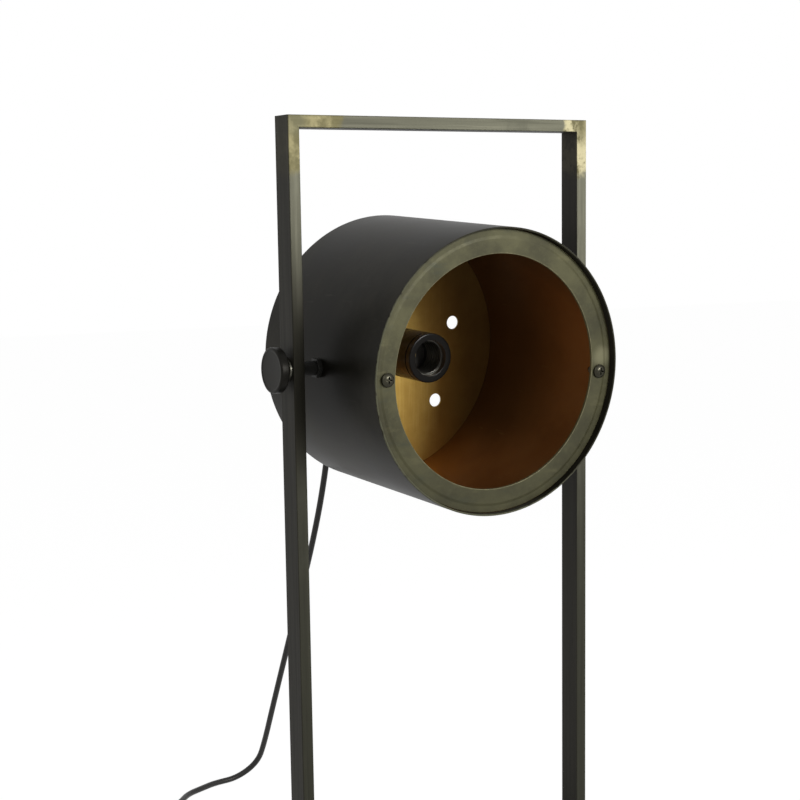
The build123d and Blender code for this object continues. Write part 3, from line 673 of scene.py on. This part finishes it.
def add_coil_tie():
    """Flat strap around the turns of the coil."""
    half_width, half_height, thickness, length = 6.85, 6.05, 0.45, 9
    distance, height = 30.75, 6.1
    angle = math.radians(62)
    bm = bmesh.new()
    bmesh.ops.create_circle(bm, cap_ends=True, radius=1, segments=48)
    for vertex in bm.verts:
        across, up = squarish(vertex.co.xy, 0.45)
        vertex.co = mm_point((half_width * across, half_height * up, 0))
    inner = bm.faces[:]
    bmesh.ops.inset_individual(bm, faces=inner, thickness=thickness * mm, use_even_offset=True)
    bmesh.ops.delete(bm, geom=inner, context="FACES_ONLY")
    made = bmesh.ops.extrude_face_region(bm, geom=bm.faces[:])["geom"]
    moved = [item for item in made if isinstance(item, bmesh.types.BMVert)]
    bmesh.ops.translate(bm, vec=(0, 0, length * mm), verts=moved)
    outwards = Vector((math.cos(angle), math.sin(angle), 0))
    along = outwards.cross(Vector((0, 0, 1)))
    start = mm_point((*coil_centre, height)) + outwards * distance * mm - along * (length / 2) * mm
    place = Matrix.Translation(start) @ Matrix((outwards, (0, 0, 1), along)).transposed().to_4x4()
    return add_piece(bm, "coil_tie", "cord_coil", finish=strap_weave, place=place, stands_for_node=False)


def add_cord_pieces():
    """Everything that the cord carries."""
    pieces = [add_plug(), eased_copy("plug_pins", 0.2, crease=30), add_coil_tie()]
    return pieces + [eased_copy(node, 0.35, 3) for node in ("switch_base", "switch_cover", "switch_rocker")]


# ---- Cord in place -----------------------------------------------------------------------------------------
cord, cord_path = add_cord()
cord.data.materials.append(finishes["cord_black"])
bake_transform(cord)
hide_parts("cord_drop", "cord_run", "cord_link", "cord_coil", "cord_tail")
add_cord_pieces()


# ---- Floor, world and lamps --------------------------------------------------------------------------------
def add_floor():
    """Pale floor that shows almost white and keeps the lamp's soft shadow."""
    bm = bmesh.new()
    bmesh.ops.create_grid(bm, x_segments=1, y_segments=1, size=8)
    mesh = bpy.data.meshes.new("floor")
    bm.to_mesh(mesh)
    bm.free()
    floor = bpy.data.objects.new("floor", mesh)
    bpy.context.scene.collection.objects.link(floor)
    paint = Paint("floor white")
    paint.set(Base_Color=(0.9, 0.9, 0.9), Roughness=0.9, Specular_IOR_Level=0.0)
    glow = paint.node("ShaderNodeEmission", None, {"Color": (1, 1, 1), "Strength": 1.1})
    rays = paint.node("ShaderNodeLightPath", None, None, "Is Camera Ray")
    glossy = Value(paint, rays.socket.node.outputs["Is Glossy Ray"])
    share = rays.higher(glossy) * 0.87
    lit = Value(paint, paint.shader.outputs[0])
    both = paint.node("ShaderNodeMixShader", None, {0: share, 1: lit, 2: glow})
    paint.tree.links.new(both.socket, paint.tree.nodes["Material Output"].inputs[0])
    mesh.materials.append(paint.block)


def light_world():
    """Surroundings that are seen and mirrored white, and that light the lamp more weakly."""
    weak = 0.28
    paint = Paint("studio", world=True)
    rays = paint.node("ShaderNodeLightPath", None, None, "Is Camera Ray")
    outputs = rays.socket.node.outputs
    glossy = Value(paint, outputs["Is Glossy Ray"])
    through = Value(paint, outputs["Is Transmission Ray"])
    seen = rays.higher(glossy).higher(through)
    background = paint.tree.nodes["Background"]
    paint.feed(background.inputs["Color"], (1, 1, 1))
    paint.feed(background.inputs["Strength"], weak + seen * (1 - weak))
    bpy.context.scene.world = paint.block


def add_lamp(name, place, target, size, power):
    """Large soft lamp aimed at a point."""
    light = bpy.data.lights.new(name, "AREA")
    light.size = size
    light.energy = power
    lamp = bpy.data.objects.new(name, light)
    bpy.context.scene.collection.objects.link(lamp)
    aim = (Vector(target) - Vector(place)).to_track_quat("-Z", "Y")
    lamp.matrix_world = Matrix.Translation(place) @ aim.to_matrix().to_4x4()


def light_studio():
    """Key lamp in front above on the right, a weaker one on the left."""
    light_world()
    add_lamp("key", (0.65, -1.85, 0.85), (0, 0, 0.42), 0.5, 30)
    add_lamp("fill", (-1.3, -1.3, 1.5), (0, 0, 0.4), 1.0, 6)
    bpy.context.scene.view_settings.view_transform = "Standard"


add_floor()
light_studio()


# ---- Drum --------------------------------------------------------------------------------------------------
def add_drum():
    """Sheet drum with a rounded front lip."""
    profile = [(110, 89.5), (110, 30), (110, -30), (110, -84.6), (109.75, -85.15), (109.25, -85.3),
               (108.75, -85.15), (108.5, -84.6), (108.5, -30), (108.5, 30), (108.5, 89.8), (109.7, 89.8)]
    add_piece(turned(profile, 192), "drum", "drum_shell", place=head_place, crease=50)


def add_ring():
    """Front ring: flat inner part and a stepped-back outer band."""
    profile = [(89.8, -79.8), (89.95, -80.1), (90.3, -80.2), (100.8, -80.2), (101.4, -80.12), (102.8, -79.78),
               (103.4, -79.7), (107.9, -79.7), (108.2, -79.4), (108.2, -78.2), (89.8, -78.2)]
    add_piece(turned(profile, 192), "ring", "front_ring", place=head_place, crease=40)


# ---- Lampholder --------------------------------------------------------------------------------------------
def add_holder():
    """Moulded sleeve with a rolled mouth and grooves, and the hood behind it."""
    sleeve = [(14.4, 14.3), (14.6, 13.85), (15.0, 13.7), (18.6, 13.7), (19.5, 13.95), (20.0, 14.7),
              (20.07, 15.4), (20.07, 19.0), (19.5, 19.4), (19.5, 20.2), (20.07, 20.6), (20.07, 46.4),
              (19.7, 46.8), (19.7, 48.0), (17.6, 48.0), (17.6, 36.5), (14.4, 36.5)]
    add_piece(turned(sleeve, 96), "holder_sleeve", "holder_skirt", place=head_place)
    hood = [(17.57, 48.05), (19.7, 48.05), (19.7, 48.7), (20.07, 49.1), (20.07, 59.2), (19.8, 60.3),
            (19.2, 62.0), (17.9, 67.6), (17.2, 69.3), (15.8, 71.0), (11.2, 75.0), (10.2, 76.2), (10.0, 77.2),
            (10.0, 83.5), (9.6, 84.0), (5.06, 84.0), (5.06, 75.5), (17.57, 60.0)]
    add_piece(turned(hood, 96), "holder_hood", "holder_cap", place=head_place)


def add_thread_shell():
    """Pressed sleeve with the round thread that a lamp screws into, and a lip at its mouth."""
    pitch = 3.62
    turns = 8
    steps = 64
    wave_steps = 8
    middle_radius, wave_height = 13.2, 0.42
    thread_start, mouth, end = 12, 18.4, 40.0
    bm = bmesh.new()
    wave = [(middle_radius + wave_height * math.cos(2 * math.pi * i / wave_steps), pitch * i / wave_steps)
            for i in range(wave_steps + 1)]
    verts = [bm.verts.new((radius * mm, (thread_start + y) * mm, 0)) for radius, y in wave]
    edges = [bm.edges.new(pair) for pair in zip(verts, verts[1:])]
    bmesh.ops.spin(bm, geom=verts + edges, cent=(0, 0, 0), axis=(0, 1, 0), angle=2 * math.pi * turns,
                   steps=steps * turns, dvec=(0, pitch / steps * mm, 0))
    bmesh.ops.remove_doubles(bm, verts=bm.verts, dist=0.005 * mm)
    for cut, outward in ((mouth, -1), (end, 1)):
        geom = bm.verts[:] + bm.edges[:] + bm.faces[:]
        bmesh.ops.bisect_plane(bm, geom=geom, plane_co=(0, cut * mm, 0), plane_no=(0, outward, 0),
                               clear_outer=True)
    bmesh.ops.recalc_face_normals(bm, faces=bm.faces)
    bmesh.ops.solidify(bm, geom=bm.faces[:], thickness=0.2 * mm)
    lip = turned([(13.5, 18.0), (14.15, 18.0), (14.25, 18.25), (14.15, 18.5), (13.5, 18.5)], steps)
    rim = bpy.data.meshes.new("shell_lip")
    lip.to_mesh(rim)
    lip.free()
    bm.from_mesh(rim)
    bpy.data.meshes.remove(rim)
    add_piece(bm, "lamp_thread", "thread_shell", place=head_place)


# ---- Clamp knobs -------------------------------------------------------------------------------------------
def add_knob(side, name):
    """Thick plain disc with rounded edges and a shallow dish in its outer face."""
    profile = [(4.1, 143.8), (16.0, 143.8), (17.0, 144.1), (17.5, 145.0), (17.5, 149.6), (17.2, 150.5),
               (16.5, 150.95), (15.6, 151.0), (14.8, 150.85), (14.2, 150.6), (0, 150.5), (0, 149.5), (4.1, 149.5)]
    turn = Matrix.Rotation(math.radians(-90 * side), 4, "Z")
    add_piece(turned(profile, 96), name + "_disc", name, place=head_place @ turn, crease=40)


# ---- Cord gland --------------------------------------------------------------------------------------------
def add_gland():
    """Collar with a tapered, ringed sleeve that keeps the cord from kinking."""
    collar_end = 102.9
    profile = [(5.1, 93.9), (8.6, 93.9), (9.0, 94.3), (9.0, 101.8), (8.5, 102.6), (7.0, collar_end)]
    for i in range(6):
        start = collar_end + 2.45 * i
        radius = 6.3 - 0.33 * i
        profile += [(radius - 0.9, start + 0.15), (radius - 0.9, start + 0.75), (radius, start + 1.0),
                    (radius - 0.1, start + 2.25)]
    profile += [(4.3, 117.7), (4.0, gland_end), (2.85, gland_end), (2.85, 101.5), (5.1, 101.4)]
    add_piece(turned(profile, 64), "ringed_gland", "cord_gland", place=head_place)


add_drum()
add_ring()
add_holder()
add_thread_shell()
add_gland()
add_knob(-1, "left_knob")
add_knob(1, "right_knob")

tube_edge = 0.25
for node in ("left_post", "right_post"):
    eased_copy(node, tube_edge)
for node in ("top_bar", "front_rail", "rear_rail"):
    eased_copy(node, tube_edge, finish=lying_steel)
for node in ("left_rail", "right_rail"):
    eased_copy(node, tube_edge, finish=side_steel)
for node in ("rear_plate", "rubber_feet", "pivot_nuts", "pivot_spacers", "lock_nuts"):
    eased_copy(node)
eased_copy("ring_screws", 0.15, finish=screw_bronze)
for node in ("left_washer", "right_washer", "left_knob_hub", "right_knob_hub", "left_bush", "right_bush"):
    eased_copy(node, 0.15, 1)
